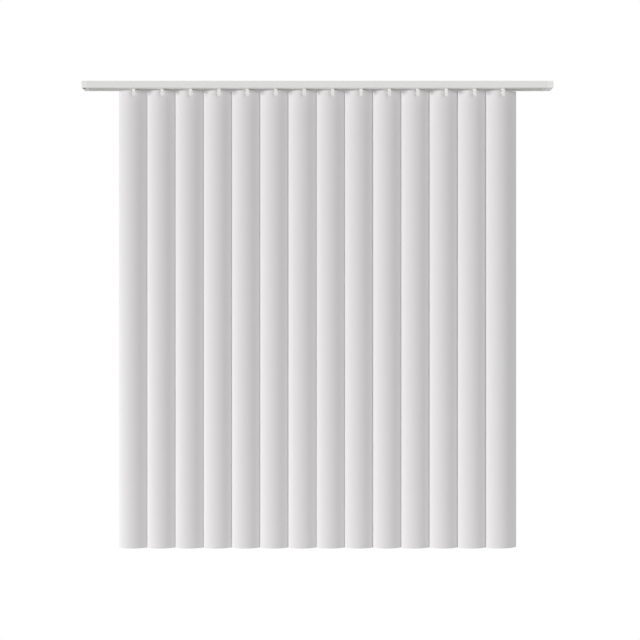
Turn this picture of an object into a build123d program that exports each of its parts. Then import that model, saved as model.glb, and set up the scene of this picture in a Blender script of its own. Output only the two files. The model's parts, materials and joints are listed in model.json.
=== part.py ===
from build123d import *
import math
import os

# Vertical blind with curved vanes that hang from a slim headrail.
# Millimetres. X runs along the headrail, the room is on the -Y side, Z is up,
# and the origin is in the middle of the headrail's top face.

# Headrail
RAIL_LENGTH = 1340.0
RAIL_DEPTH = 36.0
RAIL_HEIGHT = 20.0
RAIL_WALL = 1.5
RAIL_WEB = 2.2
RAIL_FLANGE = 1.6
RAIL_SLOT = 7.0
RAIL_TOP_ROUND = 2.5
RAIL_LOW_ROUND = 0.8
SCREW_HOLE_R = 2.1
SCREW_PLACE_SHARES = (-0.4, -0.13, 0.13, 0.4)

# End caps
CAP_LENGTH = 16.0
CAP_PLUG = 12.0
CAP_SKIN = 1.6
CAP_EDGE_BEVEL = 0.8
CAP_CORNER_ROUND = 8.0
OUTLET_LENGTH = 7.6

# Vanes
VANE_COUNT = 14
VANE_LENGTH = 1310.5
VANE_SHEET = 0.9
VANE_LAP_SHARE = 0.09
VANE_BOW_SHARE = 0.146
VANE_REST_DEG = 5.0
VANE_SLOT_WIDTH = 12.0
ROW_END = 143.5
ROW_SHIFT = 2.5

# Hangers
SHAFT_R = 2.4
SHAFT_PLAY = 0.08
SHAFT_RIB = 1.6
HEAD_GAP = 0.3
HEAD_HEIGHT = 1.7
TONGUE_WIDTH = 8.0
TONGUE_SHEET = 1.8
TONGUE_STAND = 8.2
TONGUE_DROP = 19.3
TONGUE_BEVEL = 1.2
HOOK_STAND = 1.4
HOOK_DROP = 12.0
NUB_WIDTH = 6.0
NUB_DROP = 7.0
NUB_HEIGHT = 2.8
VANE_GAP = 0.3

# Hanger wheel and worm sleeve
WHEEL_TEETH = 8
WHEEL_R = 5.0
WHEEL_FACE = 4.0
TOOTH_ADDENDUM = 0.8
TOOTH_DEDENDUM = 1.0
TOOTH_SHARE = 0.42
TOOTH_FLANK_DEG = 20.0
SLEEVE_R = 2.9
SLEEVE_SIDES = 12
SLEEVE_LENGTH = 10.0
WORM_R = 4.0

# Tilt rod
ROD_ACROSS_R = 2.3
ROD_DROP = 9.5
ROD_PLAY = 0.1
HUB_R = 4.4
HUB_LENGTH = 12.0
CHAIN_WHEEL_R = 5.4
CHAIN_WHEEL_FACE = 6.0
CHAIN_WHEEL_TEETH = 8
JOURNAL_LENGTH = 1.8
BUSH_R = 4.2

# Carriers and spacer links
CARRIER_LENGTH = 30.0
CARRIER_TOP = -3.3
CARRIER_WALL = 1.3
RUN_GAP = 0.3
POCKET_GAP = 0.6
FLOOR_PLAY = 0.1
NOTCH_GAP = 0.4
POST_SIDE = 2.4
POST_INSET = 5.0
POST_RISE = 0.7
POST_OFFSET = 11.0
LINK_WIDTH = 7.0
LINK_SHEET = 0.5
LINK_END = 3.2
LINK_GAP = 0.2
LINK_SLOT_SHARE = 0.6

# Sizes that follow from those above
ROD_Y = -(WHEEL_R + WORM_R)
ROD_Z = -ROD_DROP
HALF_RAIL = RAIL_LENGTH / 2
HALF_DEPTH = RAIL_DEPTH / 2
HALF_INSIDE = HALF_DEPTH - RAIL_WALL
INSIDE_TOP = -RAIL_WEB
INSIDE_FOOT = RAIL_FLANGE - RAIL_HEIGHT
RAIL_END = HALF_RAIL - CAP_LENGTH
PLUG_END = RAIL_END - CAP_PLUG
CARRIER_HALF = HALF_INSIDE - RUN_GAP
CARRIER_FOOT = INSIDE_FOOT + RUN_GAP
WHEEL_FOOT = ROD_Z - WHEEL_FACE / 2
WHEEL_TIP_R = WHEEL_R + TOOTH_ADDENDUM
CAVITY_R = CHAIN_WHEEL_R + TOOTH_ADDENDUM + POCKET_GAP
RIB_REACH = math.sqrt(SHAFT_R ** 2 - SHAFT_RIB ** 2 / 4)
HEAD_TOP = -RAIL_HEIGHT - HEAD_GAP
HEAD_FOOT = HEAD_TOP - HEAD_HEIGHT
NUB_TOP = HEAD_FOOT - NUB_DROP
VANE_TOP = HEAD_FOOT - VANE_GAP
VANE_FOOT = VANE_TOP - VANE_LENGTH
VANE_PITCH = (RAIL_LENGTH - 2 * ROW_END) / (VANE_COUNT - 1)
VANE_WIDTH = VANE_PITCH / (1 - VANE_LAP_SHARE)
VANE_BOW = VANE_BOW_SHARE * VANE_WIDTH
VANE_R = (VANE_WIDTH ** 2 / 4 + VANE_BOW ** 2) / (2 * VANE_BOW)
VANE_HALF_ANGLE = math.asin(VANE_WIDTH / (2 * VANE_R))
VANE_X = [ROW_SHIFT + VANE_PITCH * (k - (VANE_COUNT - 1) / 2) for k in range(VANE_COUNT)]


def block(x0, x1, y0, y1, z0, z1):
    """Block between two opposite corners."""
    middle = Pos((x0 + x1) / 2, (y0 + y1) / 2, (z0 + z1) / 2)
    return middle * Box(x1 - x0, y1 - y0, z1 - z0)


def bar_x(radius, x0, x1, y, z):
    """Round bar along X."""
    return Pos((x0 + x1) / 2, y, z) * Rot(0, 90, 0) * Cylinder(radius, x1 - x0)


def on_rod(outline, x0, x1):
    """Outline drawn round the tilt rod's centre, drawn out along X."""
    across = Plane(origin=(x0, ROD_Y, ROD_Z), x_dir=(0, 1, 0), z_dir=(1, 0, 0))
    return extrude(across * outline, amount=x1 - x0)


def hex_rod(radius, x0, x1):
    """Six-sided bar along the tilt rod's centre, with its corners at the radius."""
    return on_rod(RegularPolygon(radius, 6), x0, x1)


def disc_z(radius, z0, z1):
    """Round bar along Z on the Z axis."""
    return Pos(0, 0, (z0 + z1) / 2) * Cylinder(radius, z1 - z0)


def rail_outline():
    """Outside of the headrail's section, drawn in Y and Z."""
    outline = Pos(0, -RAIL_HEIGHT / 2) * Rectangle(RAIL_DEPTH, RAIL_HEIGHT)
    corners = outline.vertices().sort_by(Axis.Y)
    outline = fillet(corners[-2:], RAIL_TOP_ROUND)
    corners = [v for v in outline.vertices() if v.Y < -RAIL_HEIGHT / 2 and abs(v.X) > HALF_INSIDE]
    return fillet(corners, RAIL_LOW_ROUND)


def along_x(section, x0, x1):
    """Section drawn in Y and Z, drawn out along X."""
    return extrude(Plane.YZ.offset(x0) * section, amount=x1 - x0)


def headrail():
    """Channel with a slot along its underside and screw holes through its top."""
    inside = Pos(0, (INSIDE_TOP + INSIDE_FOOT) / 2) * Rectangle(2 * HALF_INSIDE, INSIDE_TOP - INSIDE_FOOT)
    slot = Pos(0, -RAIL_HEIGHT) * Rectangle(RAIL_SLOT, 2 * RAIL_FLANGE)
    rail = along_x(rail_outline() - inside - slot, -RAIL_END, RAIL_END)
    for share in SCREW_PLACE_SHARES:
        at = Pos(share * RAIL_LENGTH, 0, 0)
        rail = rail - at * disc_z(SCREW_HOLE_R, -2 * RAIL_WEB, RAIL_WEB)
    return rail


def cap_blank(side):
    """End block with the headrail's outline, and the plug that goes into the headrail."""
    ends = sorted((side * RAIL_END, side * HALF_RAIL))
    body = along_x(rail_outline(), ends[0], ends[1])
    outer = body.faces().sort_by(Axis.X)[-1 if side > 0 else 0]
    body = chamfer(outer.edges(), CAP_EDGE_BEVEL)
    plug_ends = sorted((side * RAIL_END, side * PLUG_END))
    plug = block(plug_ends[0], plug_ends[1], -CARRIER_HALF, CARRIER_HALF,
                 CARRIER_FOOT, INSIDE_TOP - RUN_GAP)
    return body + plug


def control_end_cap():
    """Left cap, hollow for the chain wheel, with the chain's outlet in its underside."""
    cap = cap_blank(-1)
    inner = -HALF_RAIL + CAP_SKIN + JOURNAL_LENGTH
    cap = cap - bar_x(CAVITY_R, inner, -PLUG_END, ROD_Y, ROD_Z)
    cap = cap - bar_x(SHAFT_R + SHAFT_PLAY, -HALF_RAIL + CAP_SKIN, inner, ROD_Y, ROD_Z)
    cap = cap - block(inner, inner + OUTLET_LENGTH, ROD_Y - CAVITY_R, ROD_Y + CAVITY_R,
                      -RAIL_HEIGHT - CAP_SKIN, ROD_Z)
    return cap


def idler_end_cap():
    """Right cap with a round rear corner and a bearing for the rod's bush."""
    square = cap_blank(1)
    plan = Pos((PLUG_END + HALF_RAIL) / 2, 0) * Rectangle(HALF_RAIL - PLUG_END, RAIL_DEPTH)
    corner = plan.vertices().sort_by(Axis.X)[-2:].sort_by(Axis.Y)[-1]
    plan = fillet(corner, CAP_CORNER_ROUND)
    cap = square & extrude(Pos(0, 0, -RAIL_HEIGHT) * plan, amount=RAIL_HEIGHT)
    bearing = bar_x(BUSH_R + SHAFT_PLAY, PLUG_END, HALF_RAIL - CAP_SKIN - JOURNAL_LENGTH, ROD_Y, ROD_Z)
    return cap - bearing


def toothed(pitch_r, teeth):
    """Outline of a toothed wheel with straight-sided teeth."""
    flank = math.tan(math.radians(TOOTH_FLANK_DEG))
    pitch_half = TOOTH_SHARE * math.pi * pitch_r / teeth
    root_r = pitch_r - TOOTH_DEDENDUM
    tip_r = pitch_r + TOOTH_ADDENDUM
    points = []
    for k in range(teeth):
        turn = 2 * math.pi * k / teeth
        for r, sign in ((root_r, -1), (tip_r, -1), (tip_r, 1), (root_r, 1)):
            half = pitch_half + (pitch_r - r) * flank
            angle = turn + sign * half / r
            points.append((r * math.cos(angle), r * math.sin(angle)))
    return make_face(Polyline(*points, close=True))


def chain_wheel():
    """Wheel with pockets for the chain's beads, a journal outside and a socket for the rod inside."""
    x0 = -HALF_RAIL + CAP_SKIN + JOURNAL_LENGTH + LINK_GAP
    x1 = x0 + CHAIN_WHEEL_FACE
    wheel = on_rod(toothed(CHAIN_WHEEL_R, CHAIN_WHEEL_TEETH), x0, x1)
    wheel = wheel + bar_x(SHAFT_R, x0 - JOURNAL_LENGTH, x0, ROD_Y, ROD_Z)
    wheel = wheel + hex_rod(HUB_R, x1, x1 + HUB_LENGTH)
    return wheel - hex_rod(ROD_ACROSS_R, x1, x1 + HUB_LENGTH)


def rod_bush():
    """Round bush on the rod's right end."""
    x1 = HALF_RAIL - CAP_SKIN - JOURNAL_LENGTH - LINK_GAP
    x0 = x1 - HUB_LENGTH
    bush = bar_x(BUSH_R, x0, x1, ROD_Y, ROD_Z)
    return bush - hex_rod(ROD_ACROSS_R, x0, x1 - JOURNAL_LENGTH)


def tilt_rod():
    """Six-sided rod from the chain wheel's socket to the bush."""
    x0 = -HALF_RAIL + CAP_SKIN + JOURNAL_LENGTH + LINK_GAP + CHAIN_WHEEL_FACE
    x1 = HALF_RAIL - CAP_SKIN - 2 * JOURNAL_LENGTH - LINK_GAP
    return hex_rod(ROD_ACROSS_R, x0, x1)


def worm_sleeve(x):
    """Sleeve that slides along the rod and turns with it."""
    half = SLEEVE_LENGTH / 2
    sleeve = on_rod(RegularPolygon(SLEEVE_R, SLEEVE_SIDES), x - half, x + half)
    return sleeve - hex_rod(ROD_ACROSS_R + ROD_PLAY, x - half, x + half)


def carrier():
    """Open-topped runner with pockets for the hanger's wheel and the worm sleeve."""
    half = CARRIER_LENGTH / 2
    body = block(-half, half, -CARRIER_HALF, CARRIER_HALF, CARRIER_FOOT, CARRIER_TOP)
    side = WHEEL_TIP_R + POCKET_GAP
    floor = WHEEL_FOOT - FLOOR_PLAY
    body = body - block(-side, side, -side, side, floor, CARRIER_TOP)
    sleeve_half = SLEEVE_LENGTH / 2 + POCKET_GAP
    worm_tip = WORM_R + TOOTH_ADDENDUM
    body = body - block(-sleeve_half, sleeve_half, CARRIER_WALL - CARRIER_HALF, -side,
                        ROD_Z - worm_tip - RUN_GAP, CARRIER_TOP)
    notch = ROD_ACROSS_R + NOTCH_GAP
    body = body - block(-half, half, ROD_Y - notch, ROD_Y + notch, ROD_Z - notch, CARRIER_TOP)
    body = body - disc_z(SHAFT_R + SHAFT_PLAY, CARRIER_FOOT, floor)
    for sign in (-1, 1):
        post = block(-POST_SIDE / 2, POST_SIDE / 2, -POST_SIDE / 2, POST_SIDE / 2, 0, POST_RISE)
        body = body + Pos(sign * (half - POST_INSET), POST_OFFSET, CARRIER_TOP) * post
    return body


def spacer_link(x):
    """Strip between the posts of two carriers, slotted so that the carriers can close up."""
    reach = VANE_PITCH - CARRIER_LENGTH + 2 * POST_INSET
    start = x + CARRIER_LENGTH / 2 - POST_INSET
    hole = POST_SIDE / 2 + LINK_GAP
    z1 = CARRIER_TOP + LINK_SHEET
    strip = block(start - LINK_END, start + reach + LINK_END, POST_OFFSET - LINK_WIDTH / 2,
                  POST_OFFSET + LINK_WIDTH / 2, CARRIER_TOP, z1)
    strip = strip - block(start - hole, start + hole, POST_OFFSET - hole, POST_OFFSET + hole, CARRIER_TOP, z1)
    slot_start = start + reach * (1 - LINK_SLOT_SHARE)
    return strip - block(slot_start, start + reach + hole, POST_OFFSET - hole, POST_OFFSET + hole,
                         CARRIER_TOP, z1)


def hanger():
    """Wheel, ribbed shaft and fork that holds a vane between a long front tongue and a short rear hook."""
    wheel = Pos(0, 0, WHEEL_FOOT) * toothed(WHEEL_R, WHEEL_TEETH)
    body = extrude(wheel, amount=WHEEL_FACE)
    for turn in (0, 90):
        rib = Pos(0, 0, HEAD_TOP) * Rot(0, 0, turn) * Rectangle(2 * RIB_REACH, SHAFT_RIB)
        body = body + extrude(rib, amount=WHEEL_FOOT - HEAD_TOP)
    half_w = TONGUE_WIDTH / 2
    front = -TONGUE_STAND - TONGUE_SHEET
    rear = HOOK_STAND + TONGUE_SHEET
    body = body + block(-half_w, half_w, front, rear, HEAD_FOOT, HEAD_TOP)
    tongue = Pos(0, HEAD_FOOT - TONGUE_DROP / 2) * Rectangle(TONGUE_WIDTH, TONGUE_DROP)
    tongue = chamfer(tongue.vertices().sort_by(Axis.Y)[:2], TONGUE_BEVEL)
    body = body + extrude(Plane.XZ.offset(TONGUE_STAND) * tongue, amount=TONGUE_SHEET)
    body = body + block(-half_w, half_w, HOOK_STAND, rear, HEAD_FOOT - HOOK_DROP, HEAD_FOOT)
    nub_end = -TONGUE_STAND + LINK_GAP
    return body + block(-NUB_WIDTH / 2, NUB_WIDTH / 2, nub_end, HOOK_STAND, NUB_TOP - NUB_HEIGHT, NUB_TOP)


def vane():
    """Curved sheet, hollow side to the window, with a punched slot that hangs on the hanger's nub."""
    outer_r = VANE_R + VANE_SHEET / 2
    inner_r = VANE_R - VANE_SHEET / 2

    def point(r, angle):
        return (r * math.sin(angle), VANE_R - r * math.cos(angle))

    a = VANE_HALF_ANGLE
    front = ThreePointArc(point(outer_r, -a), point(outer_r, 0), point(outer_r, a))
    back = ThreePointArc(point(inner_r, a), point(inner_r, 0), point(inner_r, -a))
    right = Line(point(outer_r, a), point(inner_r, a))
    left = Line(point(inner_r, -a), point(outer_r, -a))
    section = make_face([front, right, back, left])
    sheet = extrude(Pos(0, 0, VANE_FOOT) * section, amount=VANE_TOP - VANE_FOOT, dir=(0, 0, 1))
    slot_height = NUB_HEIGHT + POCKET_GAP
    slot = Pos(0, NUB_TOP - slot_height / 2) * Rectangle(VANE_SLOT_WIDTH, slot_height)
    return sheet - extrude(Plane.XZ * slot, amount=VANE_BOW, both=True)


def save(shape, name):
    """Write one node."""
    export_step(shape, "parts/" + name + ".step")


os.makedirs("parts", exist_ok=True)
save(headrail(), "headrail")
save(control_end_cap(), "control_end_cap")
save(idler_end_cap(), "idler_end_cap")
save(tilt_rod(), "tilt_rod")
save(chain_wheel(), "chain_wheel")
save(rod_bush(), "rod_bush")
save(Compound(children=[worm_sleeve(x) for x in VANE_X]), "worm_sleeves")
save(Compound(children=[spacer_link(x) for x in VANE_X[:-1]]), "spacer_links")

one_carrier = carrier()
one_hanger = Rot(0, 0, VANE_REST_DEG) * hanger()
one_vane = Rot(0, 0, VANE_REST_DEG) * vane()
for k, x in enumerate(VANE_X):
    number = "_%02d" % (k + 1)
    save(Pos(x, 0, 0) * one_carrier, "carrier" + number)
    save(Pos(x, 0, 0) * one_hanger, "hanger" + number)
    save(Pos(x, 0, 0) * one_vane, "vane" + number)
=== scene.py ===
"""Looks for a vertical blind: curved vinyl vanes on hooks under a slim slotted headrail.

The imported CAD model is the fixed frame. The vanes are rebuilt here as smooth sheets, the headrail,
its end caps and the hangers get the soft edges of extruded and moulded parts, and the works inside
the headrail keep their solids. Lengths are metres unless a name ends in _mm.
"""

import json
import logging
import math
from dataclasses import dataclass, field
from enum import Enum

import bmesh
import bpy
from mathutils import Matrix, Vector


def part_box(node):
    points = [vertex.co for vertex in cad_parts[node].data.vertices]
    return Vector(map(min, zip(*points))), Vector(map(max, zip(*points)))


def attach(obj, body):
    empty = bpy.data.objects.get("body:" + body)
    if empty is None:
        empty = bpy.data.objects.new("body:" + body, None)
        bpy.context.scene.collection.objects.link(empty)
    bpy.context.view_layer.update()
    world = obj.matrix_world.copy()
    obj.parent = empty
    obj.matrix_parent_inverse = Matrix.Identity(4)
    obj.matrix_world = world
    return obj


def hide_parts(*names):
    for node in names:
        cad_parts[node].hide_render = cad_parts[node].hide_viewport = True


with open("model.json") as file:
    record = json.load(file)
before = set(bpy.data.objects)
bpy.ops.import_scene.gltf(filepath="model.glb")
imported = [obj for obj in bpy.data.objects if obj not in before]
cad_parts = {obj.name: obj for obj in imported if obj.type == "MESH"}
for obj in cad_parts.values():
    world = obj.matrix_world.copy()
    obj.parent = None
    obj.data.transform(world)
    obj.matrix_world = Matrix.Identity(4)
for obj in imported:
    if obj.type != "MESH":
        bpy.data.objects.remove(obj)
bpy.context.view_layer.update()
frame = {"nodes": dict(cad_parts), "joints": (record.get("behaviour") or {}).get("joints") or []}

MM = 0.001
IMAGE_SIDE_PX = 640
SENSOR_MM = 36.0

# Points within the merge gap are one point, and faces within the flat angle are one face. Faces past
# the sharp angle meet in an edge to be rounded, and shading runs on up to the smooth angle. Points
# that are nearer to a box than the near gap are in it.
MERGE_GAP = 0.002 * MM
NEAR_GAP = 0.01 * MM
FLAT_ANGLE = math.radians(0.5)
SHARP_ANGLE = math.radians(28.0)
SMOOTH_ANGLE = math.radians(50.0)
UP = Vector((0.0, 0.0, 1.0))

# The curve that turns an sRGB share into linear light.
SRGB_FULL = 255
SRGB_FOOT = 0.04045
SRGB_FOOT_SLOPE = 12.92
SRGB_LIFT = 0.055
SRGB_POWER = 2.4
WHITE = (1.0, 1.0, 1.0, 1.0)

# Numbers of the sockets on a Mix node that mixes colours.
MIX_SHARE = 0
MIX_FIRST = 6
MIX_SECOND = 7
MIX_RESULT = 2

# How fine the relief's noise is, and the values that noise mostly keeps between.
RELIEF_DETAIL = 3.0
RELIEF_ROUGHNESS = 0.55
NOISE_LOW = 0.3
NOISE_HIGH = 0.7

log = logging.getLogger("vertical_blind")


class Lie(Enum):
    """Direction in which a pattern is drawn out, as scales for X, Y and Z."""

    EVEN = (1.0, 1.0, 1.0)
    ALONG_RAIL = (0.02, 1.0, 1.0)
    ALONG_DROP = (1.0, 1.0, 0.004)


class Works(Enum):
    """Parts inside the headrail, by how they are made."""

    MOULDED = "moulded"
    DARK = "moulded dark"
    DRAWN = "drawn"
    ROLLED = "rolled"


def linear(code: str) -> tuple[float, float, float, float]:
    """Turn an sRGB hex colour into linear light.

    Args:
        code: six hex digits.

    Returns:
        Red, green, blue and alpha.
    """
    shares = [byte / SRGB_FULL for byte in bytes.fromhex(code)]
    red, green, blue = (share / SRGB_FOOT_SLOPE if share <= SRGB_FOOT
                        else ((share + SRGB_LIFT) / (1 + SRGB_LIFT)) ** SRGB_POWER for share in shares)
    return (red, green, blue, 1.0)


def add(tree: bpy.types.NodeTree, kind: str, inputs: dict[str | int, object] | None = None,
        **settings: object) -> bpy.types.Node:
    """Add a shader node.

    Args:
        tree: the node tree that gets it.
        kind: the node's type without its ShaderNode prefix.
        inputs: for a socket's name or number, the value it has or the socket it is linked from.
        **settings: the node's own properties.

    Returns:
        The new node.
    """
    node = tree.nodes.new("ShaderNode" + kind)
    for name, value in settings.items():
        setattr(node, name, value)
    for name, value in (inputs or {}).items():
        if isinstance(value, bpy.types.NodeSocket):
            tree.links.new(value, node.inputs[name])
        else:
            node.inputs[name].default_value = value
    return node


@dataclass(frozen=True)
class Finish:
    """A surface with a faint drift of colour and a fine relief, each at its real size.

    The drift and the relief are noise whose cells have the given size in millimetres. Relief that is
    too fine for the picture is drawn coarser or deeper, as the finish's own comment says. A metal has
    no ior of its own.
    """

    name: str
    slot: str
    pale: str
    deep: str
    roughness: float
    rough_spread: float
    drift_mm: float
    relief_mm: float
    relief_depth_mm: float
    lie: Lie = Lie.EVEN
    ior: float | None = None
    specular: float = 0.5
    metallic: float = 0.0

    def material(self) -> bpy.types.Material:
        """Build the node material.

        Returns:
            The material, named for the real one.
        """
        made = bpy.data.materials.new(self.name)
        made.use_nodes = True
        tree = made.node_tree
        tree.nodes.clear()
        place = add(tree, "TexCoord").outputs["Object"]
        run = add(tree, "Mapping", {"Vector": place, "Scale": self.lie.value}).outputs["Vector"]
        drift = add(tree, "TexNoise", {"Vector": run, "Scale": 1 / (self.drift_mm * MM)}).outputs["Fac"]
        relief = add(tree, "TexNoise", {"Vector": run, "Scale": 1 / (self.relief_mm * MM),
                                        "Detail": RELIEF_DETAIL,
                                        "Roughness": RELIEF_ROUGHNESS}).outputs["Fac"]
        colour = add(tree, "Mix", {MIX_SHARE: drift, MIX_FIRST: linear(self.deep),
                                   MIX_SECOND: linear(self.pale)}, data_type="RGBA")
        gloss = add(tree, "MapRange", {"Value": relief, "From Min": NOISE_LOW, "From Max": NOISE_HIGH,
                                       "To Min": self.roughness - self.rough_spread,
                                       "To Max": self.roughness + self.rough_spread})
        bump = add(tree, "Bump", {"Height": relief, "Distance": self.relief_depth_mm * MM})
        shader = add(tree, "BsdfPrincipled", {"Base Color": colour.outputs[MIX_RESULT],
                                              "Roughness": gloss.outputs["Result"],
                                              "Normal": bump.outputs["Normal"],
                                              "Metallic": self.metallic,
                                              "Specular IOR Level": self.specular})
        if self.ior is not None:
            shader.inputs["IOR"].default_value = self.ior
        add(tree, "OutputMaterial", {"Surface": shader.outputs["BSDF"]})
        return made


@dataclass(frozen=True)
class Finishes:
    """The blind's finishes."""

    # Matt polyester powder coat on extruded aluminium: an even white with the slight orange peel of
    # powder that has melted and flowed, and little gloss even along the surface.
    rail: Finish = Finish(
        "powder_coated_aluminium", "rail_paint", pale="EBEBE9", deep="E6E6E4", ior=1.52, specular=0.12,
        roughness=0.58, rough_spread=0.05, drift_mm=160.0, relief_mm=1.6, relief_depth_mm=0.010)
    # Moulded ABS: the same white, a little brighter, with a fine spark-eroded grain. The real grain
    # is about 0.1 mm, and it is drawn at 0.7 mm so that it shows.
    cap: Finish = Finish(
        "moulded_abs", "cap_plastic", pale="EEEEEC", deep="E9E9E7", ior=1.53,
        roughness=0.40, rough_spread=0.05, drift_mm=30.0, relief_mm=0.7, relief_depth_mm=0.008)
    # Extruded rigid vinyl: a plain, nearly matt white with faint lines along the drop from the die's
    # lips, drawn deeper than the real ones so that they show.
    vane: Finish = Finish(
        "extruded_vinyl", "vane_pvc", pale="DDDBDC", deep="D9D7D8", ior=1.53, lie=Lie.ALONG_DROP,
        roughness=0.62, rough_spread=0.04, drift_mm=120.0, relief_mm=2.2, relief_depth_mm=0.06)
    # Moulded acetal: bright, a little waxy and smoother than the rest, with faint flow marks.
    hanger: Finish = Finish(
        "moulded_acetal_white", "hanger_plastic", pale="F2F2F0", deep="ECECE9", ior=1.48,
        roughness=0.26, rough_spread=0.05, drift_mm=9.0, relief_mm=1.1, relief_depth_mm=0.006)
    # Unpigmented acetal: the milky natural resin, left as it comes from the mould.
    inner: Finish = Finish(
        "moulded_acetal_natural", "inner_plastic", pale="E6E4DC", deep="DCD9CF", ior=1.48,
        roughness=0.38, rough_spread=0.06, drift_mm=12.0, relief_mm=1.0, relief_depth_mm=0.010)
    # Black acetal: the dark, slightly glossy wheel that grips the chain.
    wheel: Finish = Finish(
        "moulded_acetal_black", "inner_plastic", pale="3A3A3B", deep="303031", ior=1.48,
        roughness=0.34, rough_spread=0.06, drift_mm=8.0, relief_mm=0.9, relief_depth_mm=0.008)
    # Drawn aluminium: bright streaks along the bar from the drawing die.
    rod: Finish = Finish(
        "drawn_aluminium", "rod_metal", pale="D6D8DA", deep="C2C5C8", metallic=1.0, lie=Lie.ALONG_RAIL,
        roughness=0.30, rough_spread=0.08, drift_mm=3.0, relief_mm=0.5, relief_depth_mm=0.006)
    # Cold-rolled spring steel strip: grey, with fine rolling lines along its length.
    link: Finish = Finish(
        "rolled_spring_steel", "link_steel", pale="B4B6B8", deep="9C9EA1", metallic=1.0, lie=Lie.ALONG_RAIL,
        roughness=0.34, rough_spread=0.08, drift_mm=4.0, relief_mm=0.6, relief_depth_mm=0.005)


class Wardrobe:
    """Makes each finish's material once and puts it on pieces and CAD nodes."""

    def __init__(self, finishes: Finishes) -> None:
        """Keep the finishes; no material is made yet."""
        self.finishes = finishes
        self.made: dict[str, bpy.types.Material] = {}

    def dress(self, obj: bpy.types.Object, finish: Finish) -> None:
        """Give an object one finish all over.

        Args:
            obj: a new piece or a CAD node.
            finish: its surface.
        """
        if finish.name not in self.made:
            self.made[finish.name] = finish.material()
        obj.data.materials.clear()
        obj.data.materials.append(self.made[finish.name])


def weigh_normals(mesh: bpy.types.Mesh) -> None:
    """Let flat faces shade flat, and rounded edges shade smoothly into them.

    Each corner gets the mean normal of the faces round its vertex that are near its own face's,
    weighted by area.

    Args:
        mesh: the mesh, with its faces set smooth.
    """
    around: list[list[bpy.types.MeshPolygon]] = [[] for _ in mesh.vertices]
    for face in mesh.polygons:
        for vertex in face.vertices:
            around[vertex].append(face)
    limit = math.cos(SMOOTH_ANGLE)
    normals = []
    for face in mesh.polygons:
        for vertex in face.vertices:
            near = [other for other in around[vertex] if other.normal.dot(face.normal) > limit]
            normals.append(sum((other.normal * other.area for other in near), Vector()).normalized())
    mesh.normals_split_custom_set(normals)


def as_piece(bm: bmesh.types.BMesh, name: str, body: str, node: str) -> bpy.types.Object:
    """Turn a mesh into a piece that rides on a body and stands for a CAD node.

    Args:
        bm: the mesh, in the row frame; it is freed.
        name: the piece's name.
        body: the CAD body it moves with.
        node: the CAD node it replaces.

    Returns:
        The new object.
    """
    mesh = bpy.data.meshes.new(name)
    bm.to_mesh(mesh)
    bm.free()
    mesh.shade_smooth()
    weigh_normals(mesh)
    obj = bpy.data.objects.new(name, mesh)
    bpy.context.scene.collection.objects.link(obj)
    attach(obj, body)
    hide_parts(node)
    log.info("%s: %d faces on %s", name, len(mesh.polygons), body)
    return obj


def sharp_edges(bm: bmesh.types.BMesh) -> list[bmesh.types.BMEdge]:
    """Find the edges at which two faces meet at a sharp angle."""
    return [edge for edge in bm.edges if edge.is_manifold and edge.calc_face_angle() > SHARP_ANGLE]


def within(edge: bmesh.types.BMEdge, low: Vector, high: Vector) -> bool:
    """Tell whether an edge lies in the box between two corners."""
    return all(least - NEAR_GAP <= value <= most + NEAR_GAP
               for end in edge.verts for least, value, most in zip(low, end.co, high))


@dataclass(frozen=True)
class Rounding:
    """How edges are rounded: their radius, the faces across each, and the shortest that is rounded."""

    radius: float
    segments: int
    shortest: float = 0.0

    def cut(self, bm: bmesh.types.BMesh, edges: list[bmesh.types.BMEdge]) -> None:
        """Round the edges that are long enough.

        Args:
            bm: the mesh.
            edges: those of its edges that may be rounded.
        """
        chosen = [edge for edge in edges if edge.calc_length() > self.shortest]
        bmesh.ops.bevel(bm, geom=chosen, offset=self.radius, offset_type="OFFSET", segments=self.segments,
                        profile=0.5, affect="EDGES", material=-1, clamp_overlap=True)


def softened(node: str, name: str, body: str, rounding: Rounding,
             low: Vector, high: Vector) -> bpy.types.Object:
    """Copy a CAD node's form and round its edges.

    Args:
        node: the CAD node, which the new piece replaces.
        name: the piece's name.
        body: the CAD body it moves with.
        rounding: how its edges are rounded.
        low: lowest corner of the box in which they are rounded.
        high: its highest corner.

    Returns:
        The new piece.
    """
    bm = bmesh.new()
    bm.from_mesh(frame["nodes"][node].data)
    bmesh.ops.remove_doubles(bm, verts=bm.verts[:], dist=MERGE_GAP)
    bmesh.ops.dissolve_limit(bm, angle_limit=FLAT_ANGLE, verts=bm.verts[:], edges=bm.edges[:])
    rounding.cut(bm, [edge for edge in sharp_edges(bm) if within(edge, low, high)])
    return as_piece(bm, name, body, node)


@dataclass
class Headrail:
    """The extruded channel that everything hangs from."""

    long_edges: Rounding = Rounding(radius=0.4 * MM, segments=3, shortest=100.0 * MM)

    def build(self, wardrobe: Wardrobe) -> None:
        """Round the slot's lips and the inner corners, which run the whole length, and paint the channel.

        Args:
            wardrobe: the finishes.
        """
        low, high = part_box("headrail")
        rail = softened("headrail", "headrail_channel", "rail", self.long_edges, low, high)
        wardrobe.dress(rail, wardrobe.finishes.rail)


@dataclass
class EndCaps:
    """The moulded caps that close the headrail's ends."""

    rim: Rounding = Rounding(radius=0.1 * MM, segments=2)
    rim_depth: float = 0.9 * MM
    names: dict[str, str] = field(default_factory=lambda: {"control_end_cap": "end_cap_control",
                                                           "idler_end_cap": "end_cap_plain"})

    def build(self, wardrobe: Wardrobe) -> None:
        """Round both edges of the bevel round each cap's outer end, and give the caps their plastic.

        Args:
            wardrobe: the finishes.
        """
        for node, name in self.names.items():
            low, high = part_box(node)
            if low.x < 0:
                high.x = low.x + self.rim_depth
            else:
                low.x = high.x - self.rim_depth
            cap = softened(node, name, "rail", self.rim, low, high)
            wardrobe.dress(cap, wardrobe.finishes.cap)


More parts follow.
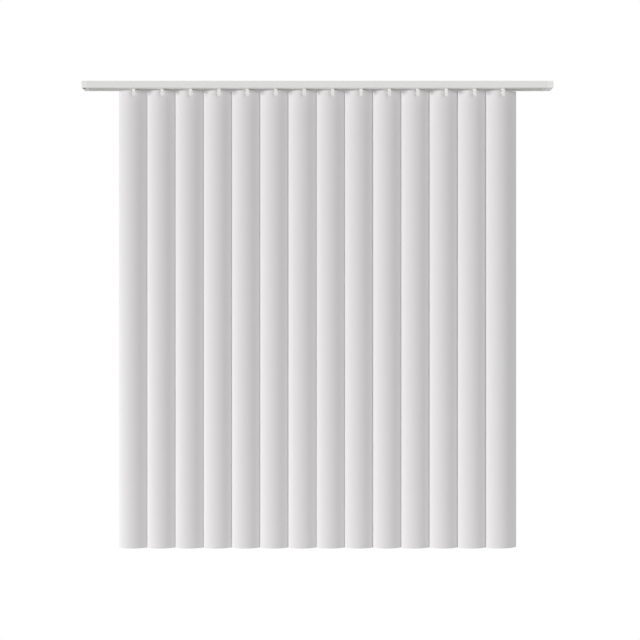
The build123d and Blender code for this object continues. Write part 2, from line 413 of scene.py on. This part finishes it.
@dataclass
class InnerWorks:
    """Rod, worm sleeves, carriers and links, which only show from below through the slot."""

    kinds: dict[str, Works] = field(default_factory=lambda: {
        "carrier": Works.MOULDED, "worm_sleeves": Works.MOULDED, "chain_wheel": Works.DARK,
        "rod_bush": Works.MOULDED, "tilt_rod": Works.DRAWN, "spacer_links": Works.ROLLED})

    def build(self, wardrobe: Wardrobe) -> None:
        """Dress the CAD nodes, whose forms stay.

        Args:
            wardrobe: the finishes.
        """
        looks = {Works.MOULDED: wardrobe.finishes.inner, Works.DARK: wardrobe.finishes.wheel,
                 Works.DRAWN: wardrobe.finishes.rod, Works.ROLLED: wardrobe.finishes.link}
        for node, obj in frame["nodes"].items():
            for stem, kind in self.kinds.items():
                if node.startswith(stem):
                    wardrobe.dress(obj, looks[kind])
                    log.info("%s: %s", node, kind.value)


@dataclass
class Hangers:
    """The moulded hooks that hold the vanes, one under each carrier."""

    edges: Rounding = Rounding(radius=0.25 * MM, segments=3)
    rounded_top: float = -19.0 * MM

    def build(self, count: int, wardrobe: Wardrobe) -> None:
        """Round what comes out of the headrail, and give the hangers their plastic.

        Args:
            count: how many vanes hang.
            wardrobe: the finishes.
        """
        for k in range(1, count + 1):
            node = f"hanger_{k:02d}"
            low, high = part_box(node)
            high.z = self.rounded_top
            hook = softened(node, f"vane_hook_{k:02d}", f"hung_vane_{k:02d}", self.edges, low, high)
            wardrobe.dress(hook, wardrobe.finishes.hanger)


@dataclass
class Vanes:
    """The curved sheets, bowed towards the room, each lapping its left neighbour's right edge.

    Their sizes are those of the solids that they stand for.
    """

    width: float = 89.011 * MM
    bow: float = 12.9956 * MM
    sheet: float = 0.9 * MM
    rest: float = math.radians(5.0)
    slot_width: float = 12.0 * MM
    slot_top: float = -29.0 * MM
    slot_foot: float = -32.4 * MM
    rims: Rounding = Rounding(radius=0.2 * MM, segments=2)
    side_steps: int = 16
    slot_steps: int = 4

    def sheet_mesh(self, top: float, foot: float) -> bmesh.types.BMesh:
        """Sweep one vane about the centre of its bow, with the middle of its width on the Z axis.

        Args:
            top: height of the upper edge.
            foot: height of the lower edge.

        Returns:
            A closed sheet with the hanger's slot.
        """
        radius = (self.width ** 2 / 4 + self.bow ** 2) / (2 * self.bow)
        front = radius + self.sheet / 2
        half = math.asin(self.width / (2 * radius))
        slot_half = math.asin(self.slot_width / (2 * radius))
        side = (half - slot_half, self.side_steps)
        middle = (2 * slot_half, self.slot_steps)
        centre = Vector((0.0, radius, 0.0))
        start = Vector((-front * math.sin(half), radius - front * math.cos(half), 0.0))
        bm = bmesh.new()
        line = [bm.verts.new((start.x, start.y, z)) for z in (foot, self.slot_foot, self.slot_top, top)]
        geom = line + [bm.edges.new(pair) for pair in zip(line, line[1:])]
        for angle, steps in (side, middle, side):
            swept = bmesh.ops.spin(bm, geom=geom, cent=centre, axis=UP, angle=angle, steps=steps)
            geom = swept["geom_last"]
        bmesh.ops.remove_doubles(bm, verts=bm.verts[:], dist=MERGE_GAP)
        punched = [face for face in bm.faces if abs(face.calc_center_median().x) < self.slot_width / 2
                   and self.slot_foot < face.calc_center_median().z < self.slot_top]
        bmesh.ops.delete(bm, geom=punched, context="FACES")
        bmesh.ops.recalc_face_normals(bm, faces=bm.faces[:])
        if bm.faces[0].normal.y > 0:
            bmesh.ops.reverse_faces(bm, faces=bm.faces[:])
        bmesh.ops.solidify(bm, geom=bm.faces[:], thickness=self.sheet)
        self.rims.cut(bm, sharp_edges(bm))
        return bm

    def build(self, count: int, wardrobe: Wardrobe) -> None:
        """Hang the vanes on their pivots.

        Args:
            count: how many vanes hang.
            wardrobe: the finishes.
        """
        pivots = {joint["child"]: Vector(joint["pos_m"]) for joint in frame["joints"]
                  if joint["name"].startswith("vane_tilt")}
        turn = Matrix.Rotation(self.rest, 3, "Z")
        for k in range(1, count + 1):
            node, body = f"vane_{k:02d}", f"hung_vane_{k:02d}"
            low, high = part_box(node)
            bm = self.sheet_mesh(high.z, low.z)
            bmesh.ops.rotate(bm, cent=(0.0, 0.0, 0.0), matrix=turn, verts=bm.verts[:])
            bmesh.ops.translate(bm, vec=(pivots[body].x, pivots[body].y, 0.0), verts=bm.verts[:])
            vane = as_piece(bm, f"vane_sheet_{k:02d}", body, node)
            wardrobe.dress(vane, wardrobe.finishes.vane)


@dataclass(frozen=True)
class Lamp:
    """One broad, far lamp.

    It stands side_deg to the left of the room's middle and rise_deg above the horizon, and looks
    spread_deg wide from the blind.
    """

    name: str
    strength: float
    side_deg: float
    rise_deg: float
    spread_deg: float

    def hang(self) -> None:
        """Put the lamp in the scene, turned to the blind."""
        side, rise = math.radians(self.side_deg), math.radians(self.rise_deg)
        level = math.cos(rise)
        towards = Vector((-math.sin(side) * level, -math.cos(side) * level, math.sin(rise)))
        data = bpy.data.lights.new(self.name, "SUN")
        data.energy = self.strength
        data.angle = math.radians(self.spread_deg)
        lamp = bpy.data.objects.new(self.name, data)
        lamp.rotation_euler = towards.to_track_quat("Z", "Y").to_euler()
        bpy.context.scene.collection.objects.link(lamp)


@dataclass
class Studio:
    """Pale floor, white surround, soft light from the left, and the photograph's camera."""

    floor_radius: float = 1.15
    floor_drop: float = -2.15
    floor_sides: int = 96
    floor_colour: str = "E6E6E4"
    surround: float = 0.20
    backdrop: float = 1.0
    lamps: tuple[Lamp, ...] = (
        # From far round on the left: lights the left side of each vane and falls off across its bow.
        Lamp("key", strength=3.25, side_deg=72.5, rise_deg=-9.0, spread_deg=12.0),
        # From over the camera: a little more on the headrail's front than on its underside.
        Lamp("front", strength=0.25, side_deg=0.0, rise_deg=15.0, spread_deg=60.0),
        # From the right: keeps the right side of each vane a light grey.
        Lamp("bounce", strength=1.22, side_deg=-46.0, rise_deg=0.0, spread_deg=40.0),
        # From behind and from above: for the sides that the camera's own view doesn't show.
        Lamp("back", strength=1.4, side_deg=205.0, rise_deg=20.0, spread_deg=30.0),
        Lamp("top", strength=1.7, side_deg=180.0, rise_deg=78.0, spread_deg=30.0))
    camera_place: Vector = field(default_factory=lambda: Vector((0.0075, -2.300, -0.6793)))
    pixels_per_mm: float = 0.34975

    def floor(self) -> None:
        """Lay a round pale floor under the blind, below the picture, where its shadow falls."""
        bm = bmesh.new()
        bmesh.ops.create_circle(bm, cap_ends=True, radius=self.floor_radius, segments=self.floor_sides)
        bmesh.ops.translate(bm, vec=(0.0, 0.0, self.floor_drop), verts=bm.verts[:])
        mesh = bpy.data.meshes.new("floor")
        bm.to_mesh(mesh)
        bm.free()
        ground = bpy.data.objects.new("floor", mesh)
        bpy.context.scene.collection.objects.link(ground)
        made = bpy.data.materials.new("matt_floor")
        made.use_nodes = True
        tree = made.node_tree
        tree.nodes.clear()
        matt = add(tree, "BsdfDiffuse", {"Color": linear(self.floor_colour)})
        add(tree, "OutputMaterial", {"Surface": matt.outputs["BSDF"]})
        mesh.materials.append(made)

    def surroundings(self) -> None:
        """Light the blind evenly all round, and show white behind it and in its gloss."""
        world = bpy.data.worlds.new("white_surround")
        world.use_nodes = True
        tree = world.node_tree
        tree.nodes.clear()
        path = add(tree, "LightPath").outputs
        seen = add(tree, "Math", {0: path["Is Camera Ray"], 1: path["Is Glossy Ray"]}, operation="ADD")
        seen = add(tree, "Math", {0: seen.outputs[0], 1: path["Is Transmission Ray"]}, operation="ADD",
                   use_clamp=True)
        level = add(tree, "MapRange", {"Value": seen.outputs[0], "To Min": self.surround,
                                       "To Max": self.backdrop})
        light = add(tree, "Background", {"Color": WHITE, "Strength": level.outputs["Result"]})
        add(tree, "OutputWorld", {"Surface": light.outputs["Background"]})
        bpy.context.scene.world = world

    def camera(self) -> None:
        """Stand the camera level in front of the blind, as the photograph's was."""
        data = bpy.data.cameras.new("camera")
        data.sensor_width = SENSOR_MM
        distance_mm = -self.camera_place.y / MM
        data.lens = SENSOR_MM * self.pixels_per_mm * distance_mm / IMAGE_SIDE_PX
        camera = bpy.data.objects.new("camera", data)
        camera.location = self.camera_place
        camera.rotation_euler = (math.pi / 2, 0.0, 0.0)
        bpy.context.scene.collection.objects.link(camera)
        bpy.context.scene.camera = camera

    def build(self) -> None:
        """Set up floor, light and camera."""
        self.floor()
        self.surroundings()
        for lamp in self.lamps:
            lamp.hang()
        self.camera()
        bpy.context.scene.view_settings.view_transform = "Standard"


def main() -> None:
    """Build the sub-assemblies in order, then the studio."""
    logging.basicConfig(level=logging.INFO, format="%(name)s: %(message)s")
    wardrobe = Wardrobe(Finishes())
    count = sum(node.startswith("vane_") for node in frame["nodes"])
    Headrail().build(wardrobe)
    EndCaps().build(wardrobe)
    InnerWorks().build(wardrobe)
    Hangers().build(count, wardrobe)
    Vanes().build(count, wardrobe)
    Studio().build()


if __name__ == "__main__":
    main()
